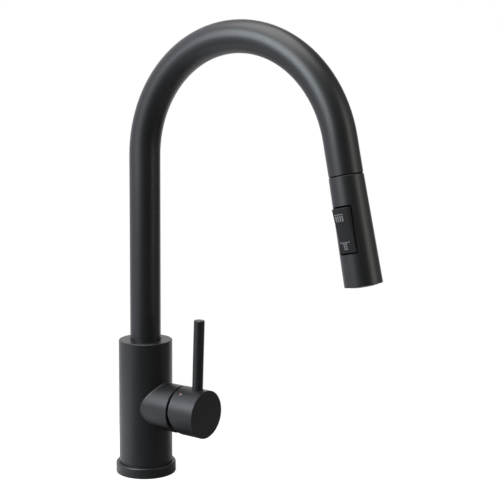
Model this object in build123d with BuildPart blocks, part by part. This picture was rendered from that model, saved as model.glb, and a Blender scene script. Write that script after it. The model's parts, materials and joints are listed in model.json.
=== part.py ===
from build123d import *
import os
from math import cos, radians, sin, sqrt, tan

# Pull-down kitchen faucet in millimetres, +Z up.
# The origin is on the deck under the body's axis, and the spout and the handle both point along +X.

# Driving dimensions of the base and the body
flange_ledge = 3.1
flange_h = 9.8
seat_h = 3.0
gasket_h = 2.0
gasket_w = 3.0
body_d = 50.2
body_top = 127.4
body_wall = 3.2
body_edge = 0.6

# Driving dimensions of the inlet block and the waterways
block_bottom = 1.0
block_h = 25.0
port_circle_r = 14.6
port_d = 9.0
port_depth = 12.0
channel_d = 5.6
stud_d = 6.8
stud_depth = 15.0
seal_h = 1.2
seal_w = 1.4

# Driving dimensions of the handle and the cartridge, along +X from the body's axis
handle_z = 66.7
branch_d = 44.0
branch_fillet = 1.6
cap_d = 44.5
cap_end = 73.2
cap_wall = 3.0
cap_end_wall = 3.8
cap_edge = 0.4
cap_gap = 2.3
housing_end = 43.0
relief_start = 1.0
relief_angle = 17.0
lever_d = 9.9
lever_x = 62.5
lever_top = 153.4
lever_lean = 1.7
lever_socket = 4.0
lever_spigot_d = 6.0
lever_spigot = 7.0
lever_edge = 0.5
lug_w = 11.0
index_d = 2.2
index_h = 1.2
index_x = 52.5
index_angle = 33.6
handle_screw_d = 4.0
handle_screw_x = 58.0
handle_screw_len = 8.0
cartridge_d = 35.0
cartridge_seat = 13.0
cartridge_base_h = 4.0
cartridge_wall = 2.0
cartridge_top = 36.5
cartridge_lip_h = 2.0
fixed_disc_h = 3.0
moving_disc_h = 2.5
carrier_h = 4.0
disc_d = 29.0
moving_disc_d = 23.0
cold_port_y = 10.6
cold_port_z = -3.0
mixed_port_z = -11.2
disc_port_d = 4.0
pivot_x = 31.0
pin_d = 3.0
stem_w = 8.0
stem_end = 62.0
stem_heel = 2.4
stem_arm = 6.0
stem_ball_d = 4.2
rotor_neck = 38.0
rotor_slot = 15.2
nut_wall = 6.2
nut_h = 5.5
dome_r = 18.6
dome_wall = 1.4
dome_mouth_r = 12.4
boss_d = 16.0
boss_start = 49.0

# Driving dimensions of the spout and its swivel
tube_d = 28.6
tube_wall = 1.5
riser_top = 300.2
bend_r = 106.0
outlet_lean = 12.0
outlet_straight = 29.8
tube_edge = 0.3
socket_depth = 35.0
tube_in_socket = 33.0
bush_wall = 1.4
lower_bush_h = 8.0
sleeve_h = 11.8
groove_h = 3.2
groove_depth = 0.8
bush_sink = 0.2
swivel_screw_d = 5.0
swivel_screw_recess = 1.4

# Driving dimensions of the hose and its fittings; depths run along the head from the joint with the spout
hose_d = 12.0
hose_bore_d = 8.0
hose_passage_d = 14.4
hose_inset = 14.0
coupling_bottom = 2.0
coupling_h = 18.0
coupling_foot = 6.0
ferrule_wall = 0.75
ferrule_top = -30.0
tail_flange_h = 2.5
tail_flange_top = -12.0
washer_h = 2.0
thread_d = 15.0
nut_top = -24.0
nut_cone = -10.0
nut_bottom = 3.0
nut_top_d = 15.8
nut_d = 19.0
guide_h = 26.0
guide_lip_inset = 0.6

# Driving dimensions of the spray head
dock_gap = 0.8
head_len = 90.9
head_top_d = 29.0
head_bottom_d = 31.9
head_wall = 1.7
head_cap_h = 2.5
head_edge = 0.35
mouth_edge = 0.7
nipple_flange_d = 19.6
nipple_flange_top = 4.0
nipple_flange_h = 3.0
nipple_bore_d = 9.0
nipple_tail = 7.0
inlet_bore_d = 14.0
inlet_bore_depth = 15.0
core_d = 23.6
outlet_depth = 10.9
distributor_h = 4.0
face_dome = 1.7
aerator_d = 11.8
aerator_sink = 0.5
aerator_cell = 1.7
nozzle_d = 1.3
nozzle_out = 0.35
nozzle_rings = ((8.2, 14), (10.7, 18))

# Driving dimensions of the rocker and the diverter; heights are from the head's axis towards the rocker.
# The head sits in its dock a little turned, so the rocker faces that angle away from -Y.
rocker_depth = 43.2
rocker_turn = 3.0
rocker_len = 36.4
rocker_w = 15.2
rocker_corner = 0.8
rocker_bevel = 0.4
rocker_face = 15.2
rocker_tilt = 6.6
rocker_pivot = 6.0
rocker_pin_d = 2.4
rocker_pin_len = 20.0
rocker_hub_d = 6.4
rocker_hub_overlap = 1.0
rocker_end_gap = 1.6
rocker_side_gap = 0.8
pocket_floor = 2.4
spool_offset = 3.0
spool_d = 6.8
spool_len = 22.0
spool_core_d = 3.4
tail_w = 3.0
tail_t = 2.0
tail_gap = 0.45

# Clearances
seat_gap = 0.05
run_gap = 0.1
free_gap = 0.3
wide_gap = 0.6

# Derived sizes that several pieces share
body_r = body_d / 2
body_bore_r = body_r - body_wall
lip_r = body_bore_r + 0.2
flange_bore_r = body_r + run_gap
flange_r = flange_bore_r + flange_ledge
flange_edge = flange_ledge / 2
block_top = block_bottom + block_h
passage_r = hose_passage_d / 2
cap_r = cap_d / 2
cap_start = housing_end + cap_gap
cavity_end = cap_end - cap_end_wall
cartridge_r = cartridge_d / 2
nut_bore_r = cartridge_r + cartridge_wall
disc_seat = cartridge_seat + cartridge_base_h
moving_seat = disc_seat + fixed_disc_h + seat_gap
carrier_seat = moving_seat + moving_disc_h
rotor_start = carrier_seat + carrier_h + free_gap
lip_start = cartridge_top - cartridge_lip_h
rotor_shoulder = lip_start - free_gap
rotor_r = cartridge_r - cartridge_wall - free_gap
rotor_neck_r = rotor_r - 3.0
nut_front = cartridge_top + nut_h
nut_in_r = nut_bore_r - nut_wall
ball_x = pivot_x - stem_arm
tube_r = tube_d / 2
socket_r = tube_r + bush_wall + run_gap
socket_floor = body_top - socket_depth
tube_bottom = body_top - tube_in_socket
sleeve_bottom = socket_floor + lower_bush_h + seat_gap
sleeve_top = sleeve_bottom + sleeve_h
groove_mid = (sleeve_bottom + sleeve_top) / 2
hose_r = hose_d / 2
ferrule_r = hose_r + seat_gap + ferrule_wall
barb_r = hose_bore_d / 2 - run_gap
thread_r = thread_d / 2
tail_flange_bottom = tail_flange_top + tail_flange_h
nipple_top = tail_flange_bottom + seat_gap + washer_h
nipple_flange_bottom = nipple_flange_top + nipple_flange_h
core_r = core_d / 2
core_end = head_len - outlet_depth
face_top = core_end + distributor_h

# The bend's end, the joint with the head, and the planes and axes that the head's pieces are drawn on
lean = radians(outlet_lean)
head_dir = Vector(sin(lean), 0, -cos(lean))
bend_normal = Vector(cos(lean), 0, sin(lean))
turn = radians(rocker_turn)
head_side = Vector(0, -1, 0) * cos(turn) - bend_normal * sin(turn)
head_normal = Vector(0, -1, 0) * sin(turn) + bend_normal * cos(turn)
bend_end = Vector(bend_r * (1 + cos(lean)), 0, riser_top + bend_r * sin(lean))
dock = bend_end + head_dir * outlet_straight
head_axis = Axis(dock, head_dir)
head_section = Plane(origin=dock, x_dir=head_side, z_dir=head_normal)
rocker_side = Plane(origin=dock + head_dir * rocker_depth, x_dir=head_dir, z_dir=head_side)
handle_axis = Axis((0, 0, handle_z), (1, 0, 0))
handle_section = Plane(origin=(0, 0, handle_z), x_dir=(1, 0, 0), z_dir=(0, -1, 0))


def head_plane(depth):
    """A plane across the head at that depth below the joint, facing down it, with +X to the rocker."""
    return Plane(origin=dock + head_dir * depth, x_dir=head_side, z_dir=head_dir)


def handle_plane(x):
    """A plane across the handle's axis at that distance from the body's axis, facing +X."""
    return Plane(origin=(x, 0, handle_z), x_dir=(0, 1, 0), z_dir=(1, 0, 0))


def head_radius(depth):
    """The head's outer radius at a depth below the joint."""
    share = (depth - dock_gap) / (head_len - dock_gap)
    return (head_top_d + (head_bottom_d - head_top_d) * share) / 2


# Base: flange, gasket, body and inlet block

gasket_r = (lip_r + flange_r) / 2

with BuildPart() as base_flange:
    with BuildSketch(Plane.XZ):
        with BuildLine():
            Polyline(
                (lip_r, 0),
                (flange_r, 0),
                (flange_r, flange_h),
                (flange_bore_r, flange_h),
                (flange_bore_r, seat_h),
                (lip_r, seat_h),
                close=True,
            )
        make_face()
        with Locations((gasket_r, 0)):
            Rectangle(gasket_w, gasket_h, align=(Align.CENTER, Align.MIN), mode=Mode.SUBTRACT)
    revolve(axis=Axis.Z)
    rim = base_flange.edges().filter_by(GeomType.CIRCLE).group_by(Axis.Z)[-1]
    fillet(rim.sort_by(SortBy.RADIUS)[-1], flange_edge)
base_flange.part.label = "base_flange"

with BuildPart() as base_gasket:
    with BuildSketch(Plane.XZ):
        with Locations((gasket_r, 0)):
            Rectangle(gasket_w - 2 * seat_gap, gasket_h, align=(Align.CENTER, Align.MIN))
    revolve(axis=Axis.Z)
base_gasket.part.label = "base_gasket"

cartridge_ports = ((-cold_port_y, cold_port_z), (cold_port_y, cold_port_z), (0, mixed_port_z))

with BuildPart() as mixer_body:
    with BuildSketch(Plane.XY.offset(seat_h)):
        Circle(body_r)
    extrude(amount=body_top - seat_h)
    chamfer(mixer_body.edges().group_by(Axis.Z)[-1], body_edge)
    with BuildSketch(handle_plane(0)):
        Circle(branch_d / 2)
    extrude(amount=housing_end)
    # The curve where the branch leaves the body is the only edge that is neither a line nor a circle
    fillet(mixer_body.edges().filter_by(GeomType.BSPLINE), branch_fillet)
    chamfer(mixer_body.edges().group_by(Axis.X)[-1], body_edge)
    # Bore for the inlet block, passage for the hose and socket for the spout
    with BuildSketch(Plane.XY.offset(seat_h)):
        Circle(body_bore_r)
    extrude(amount=block_top - seat_h, mode=Mode.SUBTRACT)
    with BuildSketch(Plane.XY.offset(block_top)):
        Circle(passage_r)
    extrude(amount=body_top - block_top, mode=Mode.SUBTRACT)
    with BuildSketch(Plane.XY.offset(socket_floor)):
        Circle(socket_r)
    extrude(amount=socket_depth, mode=Mode.SUBTRACT)
    # Cartridge bore and the wider thread for its nut
    with BuildSketch(handle_plane(cartridge_seat)):
        Circle(cartridge_r + run_gap)
    extrude(amount=housing_end - cartridge_seat, mode=Mode.SUBTRACT)
    with BuildSketch(handle_plane(cartridge_top)):
        Circle(nut_bore_r)
    extrude(amount=housing_end - cartridge_top, mode=Mode.SUBTRACT)
    # Hot and cold waterways up from the block, and the mixed one down to it
    with BuildSketch(Plane.XY.offset(block_top)):
        with PolarLocations(port_circle_r, 2, start_angle=90):
            Circle(channel_d / 2)
    extrude(amount=handle_z + cold_port_z - block_top, mode=Mode.SUBTRACT)
    with BuildSketch(Plane.XY.offset(block_top)):
        with Locations((port_circle_r, 0)):
            Circle(channel_d / 2)
    extrude(amount=handle_z + mixed_port_z - block_top, mode=Mode.SUBTRACT)
    with BuildSketch(handle_plane(cartridge_seat)):
        with Locations(*cartridge_ports[:2]):
            Circle(channel_d / 2)
    extrude(amount=-cartridge_seat, mode=Mode.SUBTRACT)
    # Threaded hole for the screw that keeps the spout in
    with Locations(Plane(origin=(-body_r, 0, groove_mid), z_dir=(-1, 0, 0))):
        Hole(swivel_screw_d / 2, body_r)
mixer_body.part.label = "mixer_body"

block_foot = Plane(origin=(0, 0, block_bottom), x_dir=(1, 0, 0), z_dir=(0, 0, -1))

with BuildPart() as inlet_block:
    with BuildSketch(Plane.XY.offset(block_bottom)):
        Circle(body_bore_r - seat_gap)
        Circle(passage_r, mode=Mode.SUBTRACT)
    extrude(amount=block_h)
    with Locations(block_foot):
        with PolarLocations(port_circle_r, 3, start_angle=-90, angular_range=180, endpoint=True):
            CounterBoreHole(channel_d / 2, port_d / 2, port_depth)
        with Locations((-port_circle_r, 0)):
            Hole(stud_d / 2, stud_depth)
    with BuildSketch(Plane.XY.offset(block_top)):
        with PolarLocations(port_circle_r, 3, start_angle=-90, angular_range=180, endpoint=True):
            Circle(channel_d / 2 + seal_w)
    extrude(amount=-seal_h, mode=Mode.SUBTRACT)
inlet_block.part.label = "inlet_block"

with BuildPart() as channel_seals:
    with BuildSketch(Plane.XY.offset(block_top - seal_h)):
        with PolarLocations(port_circle_r, 3, start_angle=-90, angular_range=180, endpoint=True):
            Circle(channel_d / 2 + seal_w - seat_gap)
            Circle(channel_d / 2, mode=Mode.SUBTRACT)
    extrude(amount=seal_h)
channel_seals.part.label = "channel_seals"

# Ceramic cartridge in the side branch

with BuildPart() as cartridge_base:
    with BuildSketch(handle_plane(cartridge_seat)):
        Circle(cartridge_r)
        with Locations(*cartridge_ports):
            Circle(channel_d / 2, mode=Mode.SUBTRACT)
    extrude(amount=cartridge_base_h)
    with BuildSketch(handle_plane(cartridge_seat)):
        with Locations(*cartridge_ports):
            Circle(channel_d / 2 + seal_w)
    extrude(amount=seal_h, mode=Mode.SUBTRACT)
cartridge_base.part.label = "cartridge_base"

with BuildPart() as cartridge_seals:
    with BuildSketch(handle_plane(cartridge_seat)):
        with Locations(*cartridge_ports):
            Circle(channel_d / 2 + seal_w - seat_gap)
            Circle(channel_d / 2, mode=Mode.SUBTRACT)
    extrude(amount=seal_h)
cartridge_seals.part.label = "cartridge_seals"

with BuildPart() as cartridge_housing:
    with BuildSketch(handle_plane(disc_seat)):
        Circle(cartridge_r)
        Circle(cartridge_r - cartridge_wall, mode=Mode.SUBTRACT)
    extrude(amount=lip_start - disc_seat)
    with BuildSketch(handle_plane(lip_start)):
        Circle(cartridge_r)
        Circle(rotor_neck_r + free_gap, mode=Mode.SUBTRACT)
    extrude(amount=cartridge_lip_h)
cartridge_housing.part.label = "cartridge_housing"

with BuildPart() as fixed_disc:
    with BuildSketch(handle_plane(disc_seat)):
        Circle(disc_d / 2)
        with Locations(*cartridge_ports):
            Circle(disc_port_d / 2, mode=Mode.SUBTRACT)
    extrude(amount=fixed_disc_h)
fixed_disc.part.label = "fixed_disc"

with BuildPart() as moving_disc:
    with BuildSketch(handle_plane(moving_seat)):
        Circle(moving_disc_d / 2)
    extrude(amount=moving_disc_h)
    # Mixing chamber in the face that slides on the fixed disc
    with BuildSketch(handle_plane(moving_seat)):
        SlotOverall(moving_disc_d * 0.6, moving_disc_d * 0.4)
    extrude(amount=moving_disc_h / 2, mode=Mode.SUBTRACT)
moving_disc.part.label = "moving_disc"

ball_slot = stem_ball_d + 2 * free_gap

with BuildPart() as disc_carrier:
    with BuildSketch(handle_plane(carrier_seat)):
        Circle(moving_disc_d / 2)
    extrude(amount=carrier_h)
    with BuildSketch(handle_plane(ball_x - stem_ball_d / 2 - free_gap / 2)):
        Rectangle(ball_slot, ball_slot)
    extrude(amount=carrier_h, mode=Mode.SUBTRACT)
disc_carrier.part.label = "disc_carrier"

with BuildPart() as stem_rotor:
    with BuildSketch(handle_plane(rotor_start)):
        Circle(rotor_r)
    extrude(amount=rotor_shoulder - rotor_start)
    with BuildSketch(handle_plane(rotor_shoulder)):
        Circle(rotor_neck_r)
    extrude(amount=rotor_neck - rotor_shoulder)
    with BuildSketch(handle_plane(rotor_start)):
        Rectangle(stem_w + 2 * free_gap, rotor_slot)
    extrude(amount=rotor_neck - rotor_start, mode=Mode.SUBTRACT)
    with Locations(Plane(origin=(pivot_x, -rotor_r, handle_z), z_dir=(0, -1, 0))):
        Hole(pin_d / 2, 2 * rotor_r)
stem_rotor.part.label = "stem_rotor"

pin_half = sqrt((rotor_neck_r - free_gap) ** 2 - (pin_d / 2) ** 2)

with BuildPart() as stem_pin:
    with BuildSketch(Plane.XZ.offset(-pin_half)):
        with Locations((pivot_x, handle_z)):
            Circle(pin_d / 2 - seat_gap)
    extrude(amount=2 * pin_half)
stem_pin.part.label = "stem_pin"

shank_start = pivot_x - stem_heel

with BuildPart() as stem:
    with BuildSketch(handle_plane(shank_start)):
        RectangleRounded(stem_w, stem_w, stem_w / 10)
    extrude(amount=stem_end - shank_start)
    with BuildSketch(handle_plane(ball_x)):
        Circle(stem_ball_d / 2 * 0.8)
    extrude(amount=shank_start - ball_x)
    with Locations((ball_x, 0, handle_z)):
        Sphere(stem_ball_d / 2)
    with Locations(Plane(origin=(pivot_x, -stem_w, handle_z), z_dir=(0, -1, 0))):
        Hole(pin_d / 2, 2 * stem_w)
stem.part.label = "stem"

with BuildPart() as cartridge_nut:
    with BuildSketch(handle_plane(cartridge_top)):
        Circle(nut_bore_r - seat_gap)
        Circle(nut_in_r, mode=Mode.SUBTRACT)
    extrude(amount=nut_h)
    # Four notches for a pin spanner
    with BuildSketch(handle_plane(nut_front)):
        with PolarLocations(nut_bore_r, 4, start_angle=45):
            Rectangle(nut_wall / 2, nut_wall / 2)
    extrude(amount=-nut_h / 2, mode=Mode.SUBTRACT)
cartridge_nut.part.label = "cartridge_nut"


def on_dome(sphere_r, ring_r):
    """Distance from the body's axis, and radius, of a ring on a sphere about the stem's pivot."""
    return (pivot_x + sqrt(sphere_r**2 - ring_r**2), ring_r)


dome_foot = nut_front - pivot_x
dome_foot_r = sqrt(dome_r**2 - dome_foot**2)
dome_in_r = dome_r - dome_wall
dome_foot_in_r = sqrt(dome_in_r**2 - dome_foot**2)
dome_mouth_in_r = dome_mouth_r * dome_in_r / dome_r

with BuildPart() as dome_ring:
    with BuildSketch(handle_section):
        with BuildLine():
            outer = ThreePointArc(
                (nut_front, dome_foot_r),
                on_dome(dome_r, (dome_foot_r + dome_mouth_r) / 2),
                on_dome(dome_r, dome_mouth_r),
            )
            inner = ThreePointArc(
                on_dome(dome_in_r, dome_mouth_in_r),
                on_dome(dome_in_r, (dome_foot_in_r + dome_mouth_in_r) / 2),
                (nut_front, dome_foot_in_r),
            )
            Line(outer @ 1, inner @ 0)
            Line(inner @ 1, outer @ 0)
        make_face()
    revolve(axis=handle_axis)
dome_ring.part.label = "dome_ring"

# Handle: cap, lever, its screw and the two index dots

lever_dir = Vector(sin(radians(lever_lean)), 0, cos(radians(lever_lean)))
lever_base = Vector(lever_x, 0, handle_z + cap_r)
lever_foot = Plane(origin=lever_base - lever_dir * lever_socket, x_dir=(0, 1, 0), z_dir=lever_dir)
lever_len = (lever_top - lever_base.Z) / cos(radians(lever_lean)) + lever_socket
relief_end = cap_start + (cap_r + relief_start) * tan(radians(relief_angle))


def index_plane(side):
    """A plane on the cap's side at an index dot: side is -1 for hot and 1 for cold."""
    out = Vector(0, side * sin(radians(index_angle)), cos(radians(index_angle)))
    return Plane(origin=Vector(index_x, 0, handle_z) + out * cap_r, x_dir=(1, 0, 0), z_dir=out)


with BuildPart() as handle_cap:
    with BuildSketch(handle_plane(cap_start)):
        Circle(cap_r)
    extrude(amount=cap_end - cap_start)
    chamfer(handle_cap.edges().group_by(Axis.X)[-1], cap_edge)
    with BuildSketch(handle_plane(cap_start)):
        Circle(cap_r - cap_wall)
    extrude(amount=cavity_end - cap_start, mode=Mode.SUBTRACT)
    # Boss that takes the stem, and the lug that the lever screws into
    with BuildSketch(handle_plane(boss_start)):
        Circle(boss_d / 2)
    extrude(amount=cavity_end - boss_start)
    with BuildSketch(handle_plane(lever_x - lug_w / 2)):
        Rectangle(lug_w, cap_r - cap_wall / 2, align=(Align.CENTER, Align.MIN))
    extrude(amount=cavity_end - lever_x + lug_w / 2)
    with BuildSketch(handle_plane(boss_start)):
        Rectangle(stem_w + 2 * seat_gap, stem_w + 2 * seat_gap)
    extrude(amount=stem_end + wide_gap - boss_start, mode=Mode.SUBTRACT)
    # Slanted relief behind the lower half, which lets the handle tip up
    with BuildSketch(Plane.XZ):
        with BuildLine():
            Polyline(
                (cap_start - cap_gap, handle_z + relief_start),
                (cap_start, handle_z + relief_start),
                (relief_end, handle_z - cap_r),
                (relief_end, handle_z - cap_r - cap_gap),
                (cap_start - cap_gap, handle_z - cap_r - cap_gap),
                close=True,
            )
        make_face()
    extrude(amount=cap_d, both=True, mode=Mode.SUBTRACT)
    with Locations(lever_foot.offset(lever_socket + cap_wall)):
        Hole(lever_d / 2 + seat_gap, lever_socket + cap_wall)
        Hole(lever_spigot_d / 2, lever_socket + cap_wall + lever_spigot + free_gap)
    with Locations(Plane(origin=(handle_screw_x, 0, handle_z - cap_r), z_dir=(0, 0, -1))):
        Hole(handle_screw_d / 2, cap_r)
    with Locations(index_plane(-1), index_plane(1)):
        Hole(index_d / 2, index_h)
handle_cap.part.label = "handle_cap"

with BuildPart() as lever_rod:
    with BuildSketch(lever_foot):
        Circle(lever_d / 2)
    extrude(amount=lever_len)
    chamfer(lever_rod.edges().group_by(Axis.Z)[-1], lever_edge)
    with BuildSketch(lever_foot):
        Circle(lever_spigot_d / 2 - seat_gap)
    extrude(amount=-lever_spigot)
lever_rod.part.label = "lever_rod"

screw_tip = handle_z - stem_w / 2 - seat_gap

with BuildPart() as handle_screw:
    with BuildSketch(Plane(origin=(handle_screw_x, 0, screw_tip), x_dir=(1, 0, 0), z_dir=(0, 0, -1))):
        Circle(handle_screw_d / 2 - seat_gap)
    extrude(amount=handle_screw_len)
    with BuildSketch(handle_screw.faces().sort_by(Axis.Z)[0]):
        RegularPolygon(handle_screw_d / 4, 6)
    extrude(amount=-handle_screw_d / 2, mode=Mode.SUBTRACT)
handle_screw.part.label = "handle_screw"

with BuildPart() as hot_index:
    with BuildSketch(index_plane(-1)):
        Circle(index_d / 2 - seat_gap)
    extrude(amount=-index_h)
hot_index.part.label = "hot_index"

with BuildPart() as cold_index:
    with BuildSketch(index_plane(1)):
        Circle(index_d / 2 - seat_gap)
    extrude(amount=-index_h)
cold_index.part.label = "cold_index"

# Spout, its swivel in the body's socket, and the guide that docks the head

with BuildPart() as spout_tube:
    with BuildLine(Plane.XZ):
        Line((0, tube_bottom), (0, riser_top))
        CenterArc((bend_r, riser_top), bend_r, 180, outlet_lean - 180)
        Line((bend_end.X, bend_end.Z), (dock.X, dock.Z))
    with BuildSketch(Plane.XY.offset(tube_bottom)):
        Circle(tube_r)
        Circle(tube_r - tube_wall, mode=Mode.SUBTRACT)
    sweep()
    outlet_rims = spout_tube.faces().sort_by_distance(dock)[0].edges()
    chamfer(outlet_rims.sort_by(SortBy.RADIUS)[-1], tube_edge)
spout_tube.part.label = "spout_tube"

with BuildPart() as spout_sleeve:
    with BuildSketch(Plane.XZ):
        with Locations((tube_r + seat_gap, sleeve_bottom)):
            Rectangle(bush_wall - seat_gap, sleeve_h, align=(Align.MIN, Align.MIN))
        with Locations((tube_r + bush_wall, groove_mid)):
            Rectangle(2 * groove_depth, groove_h, mode=Mode.SUBTRACT)
    revolve(axis=Axis.Z)
spout_sleeve.part.label = "spout_sleeve"

with BuildPart() as lower_bush:
    with BuildSketch(Plane.XZ):
        with Locations((tube_r + run_gap, socket_floor)):
            Rectangle(bush_wall - seat_gap, lower_bush_h, align=(Align.MIN, Align.MIN))
    revolve(axis=Axis.Z)
lower_bush.part.label = "lower_bush"

upper_bush_bottom = sleeve_top + run_gap
upper_bush_h = body_top - bush_sink - upper_bush_bottom

with BuildPart() as upper_bush:
    with BuildSketch(Plane.XZ):
        with Locations((tube_r + run_gap, upper_bush_bottom)):
            Rectangle(bush_wall - seat_gap, upper_bush_h, align=(Align.MIN, Align.MIN))
    revolve(axis=Axis.Z)
upper_bush.part.label = "upper_bush"

screw_front = tube_r + bush_wall - groove_depth + free_gap

with BuildPart() as spout_screw:
    with BuildSketch(Plane(origin=(-screw_front, 0, groove_mid), x_dir=(0, 1, 0), z_dir=(-1, 0, 0))):
        Circle(groove_h / 2 - free_gap)
    extrude(amount=wide_gap + groove_depth)
    with BuildSketch(Plane(origin=(-socket_r - run_gap, 0, groove_mid), x_dir=(0, 1, 0), z_dir=(-1, 0, 0))):
        Circle(swivel_screw_d / 2 - seat_gap)
    extrude(amount=body_r - swivel_screw_recess - socket_r - run_gap)
    with BuildSketch(spout_screw.faces().sort_by(Axis.X)[0]):
        RegularPolygon(swivel_screw_d / 4, 6)
    extrude(amount=-swivel_screw_d / 2, mode=Mode.SUBTRACT)
spout_screw.part.label = "spout_screw"

guide_r = nut_d / 2 + free_gap + run_gap
guide_top_r = nut_top_d / 2 + free_gap + run_gap
guide_out_r = tube_r - tube_wall - run_gap
guide_lip_r = tube_r - guide_lip_inset

with BuildPart() as docking_guide:
    with BuildSketch(head_section):
        with BuildLine():
            Polyline(
                (guide_r, dock_gap),
                (guide_lip_r, dock_gap),
                (guide_lip_r, seat_gap),
                (guide_out_r, seat_gap),
                (guide_out_r, -guide_h),
                (guide_top_r, -guide_h),
                (guide_top_r, nut_top),
                (guide_r, nut_cone),
                close=True,
            )
        make_face()
    revolve(axis=head_axis)
docking_guide.part.label = "docking_guide"

# Hose inside the spout, with a coupling at the deck end and a crimped tail at the head end

hose_start = coupling_bottom + coupling_foot + seat_gap
hose_stop = dock - head_dir * hose_inset

with BuildPart() as pull_hose:
    with BuildLine(Plane.XZ):
        Line((0, hose_start), (0, riser_top))
        CenterArc((bend_r, riser_top), bend_r, 180, outlet_lean - 180)
        Line((bend_end.X, bend_end.Z), (hose_stop.X, hose_stop.Z))
    with BuildSketch(Plane.XY.offset(hose_start)):
        Circle(hose_r)
        Circle(hose_bore_d / 2, mode=Mode.SUBTRACT)
    sweep()
pull_hose.part.label = "pull_hose"

with BuildPart() as hose_coupling:
    with BuildSketch(Plane.XZ):
        with Locations((barb_r - wide_gap, coupling_bottom)):
            Rectangle(ferrule_r - barb_r + wide_gap, coupling_foot, align=(Align.MIN, Align.MIN))
            Rectangle(wide_gap, coupling_h, align=(Align.MIN, Align.MIN))
        with Locations((hose_r + seat_gap, coupling_bottom)):
            Rectangle(ferrule_wall, coupling_h, align=(Align.MIN, Align.MIN))
    revolve(axis=Axis.Z)
hose_coupling.part.label = "hose_coupling"

with BuildPart() as hose_ferrule:
    with BuildSketch(head_section):
        with Locations((hose_r + seat_gap, ferrule_top)):
            Rectangle(ferrule_wall, tail_flange_top - ferrule_top, align=(Align.MIN, Align.MIN))
    revolve(axis=head_axis)
hose_ferrule.part.label = "hose_ferrule"

tail_r = thread_r - free_gap

with BuildPart() as hose_tail:
    with BuildSketch(head_section):
        with Locations((barb_r - wide_gap, ferrule_top)):
            Rectangle(wide_gap, tail_flange_bottom - ferrule_top, align=(Align.MIN, Align.MIN))
        with Locations((barb_r - wide_gap, tail_flange_top)):
            Rectangle(tail_r - barb_r + wide_gap, tail_flange_h, align=(Align.MIN, Align.MIN))
    revolve(axis=head_axis)
hose_tail.part.label = "hose_tail"

# Spray head: the swivel nut, the inlet, the shell and the waterway core

nut_bore_top_r = ferrule_r + free_gap

with BuildPart() as hose_nut:
    with BuildSketch(head_section):
        with BuildLine():
            Polyline(
                (nut_bore_top_r, nut_top),
                (nut_top_d / 2, nut_top),
                (nut_d / 2, nut_cone),
                (nut_d / 2, nut_bottom),
                (thread_r + seat_gap, nut_bottom),
                (thread_r + seat_gap, tail_flange_top - free_gap),
                (nut_bore_top_r, tail_flange_top - free_gap),
                close=True,
            )
        make_face()
    revolve(axis=head_axis)
hose_nut.part.label = "hose_nut"

with BuildPart() as inlet_washer:
    with BuildSketch(head_plane(tail_flange_bottom + seat_gap)):
        Circle(tail_r)
        Circle(nipple_bore_d / 2, mode=Mode.SUBTRACT)
    extrude(amount=washer_h)
inlet_washer.part.label = "inlet_washer"

inlet_end = nipple_flange_bottom + inlet_bore_depth

with BuildPart() as head_nipple:
    with BuildSketch(head_plane(nipple_top)):
        Circle(thread_r)
    extrude(amount=nipple_flange_top - nipple_top)
    with BuildSketch(head_plane(nipple_flange_top)):
        Circle(nipple_flange_d / 2)
    extrude(amount=nipple_flange_h)
    with BuildSketch(head_plane(nipple_flange_bottom)):
        Circle(inlet_bore_d / 2 - seat_gap)
    extrude(amount=nipple_tail)
    with BuildSketch(head_plane(nipple_top)):
        Circle(nipple_bore_d / 2)
    extrude(amount=nipple_flange_bottom + nipple_tail - nipple_top, mode=Mode.SUBTRACT)
head_nipple.part.label = "head_nipple"

with BuildPart() as check_valve:
    with BuildSketch(head_plane(nipple_flange_bottom + nipple_tail + seat_gap)):
        Circle(inlet_bore_d / 2 - seat_gap)
        with PolarLocations(inlet_bore_d / 4, 4):
            Circle(inlet_bore_d / 8, mode=Mode.SUBTRACT)
    extrude(amount=inlet_bore_depth - nipple_tail - 2 * seat_gap)
check_valve.part.label = "check_valve"

cap_hole_r = nut_d / 2 + wide_gap
shell_shoulder = dock_gap + head_cap_h
top_r = head_top_d / 2
bottom_r = head_bottom_d / 2
tip = radians(rocker_tilt)
rocker_top = rocker_face - rocker_pivot
recess_len = rocker_len + 2 * rocker_end_gap
recess_w = rocker_w + 2 * rocker_side_gap
recess_shift = rocker_top * sin(tip)

with BuildPart() as head_shell:
    with BuildSketch(head_section):
        with BuildLine():
            Polyline(
                (cap_hole_r, dock_gap),
                (top_r - head_edge, dock_gap),
                (head_radius(dock_gap + head_edge), dock_gap + head_edge),
                (bottom_r, head_len),
                (bottom_r - head_wall, head_len),
                (head_radius(shell_shoulder) - head_wall, shell_shoulder),
                (cap_hole_r, shell_shoulder),
                close=True,
            )
        make_face()
    revolve(axis=head_axis)
    shell_rims = head_shell.edges().filter_by(GeomType.CIRCLE)
    mouth_rims = shell_rims.sort_by_distance(dock + head_dir * head_len)[:2]
    fillet(mouth_rims.sort_by(SortBy.RADIUS)[-1], mouth_edge)
    # Opening for the rocker
    with BuildSketch(rocker_side):
        with Locations((recess_shift, 0)):
            RectangleRounded(recess_len, recess_w, rocker_corner + rocker_side_gap / 2)
    extrude(amount=head_bottom_d, mode=Mode.SUBTRACT)
head_shell.part.label = "head_shell"

rocker_pin_at = dock + head_dir * rocker_depth + head_side * rocker_pivot
spool_axis = Axis(dock - head_side * spool_offset, head_dir)
spool_section = Plane(origin=dock - head_side * spool_offset, x_dir=head_side, z_dir=head_normal)
tail_reach = rocker_pivot + spool_offset - spool_core_d / 2 - free_gap
spool_arm = rocker_pivot + spool_offset - (spool_d + spool_core_d) / 4
slot_len = tail_t + 4 * wide_gap

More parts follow.
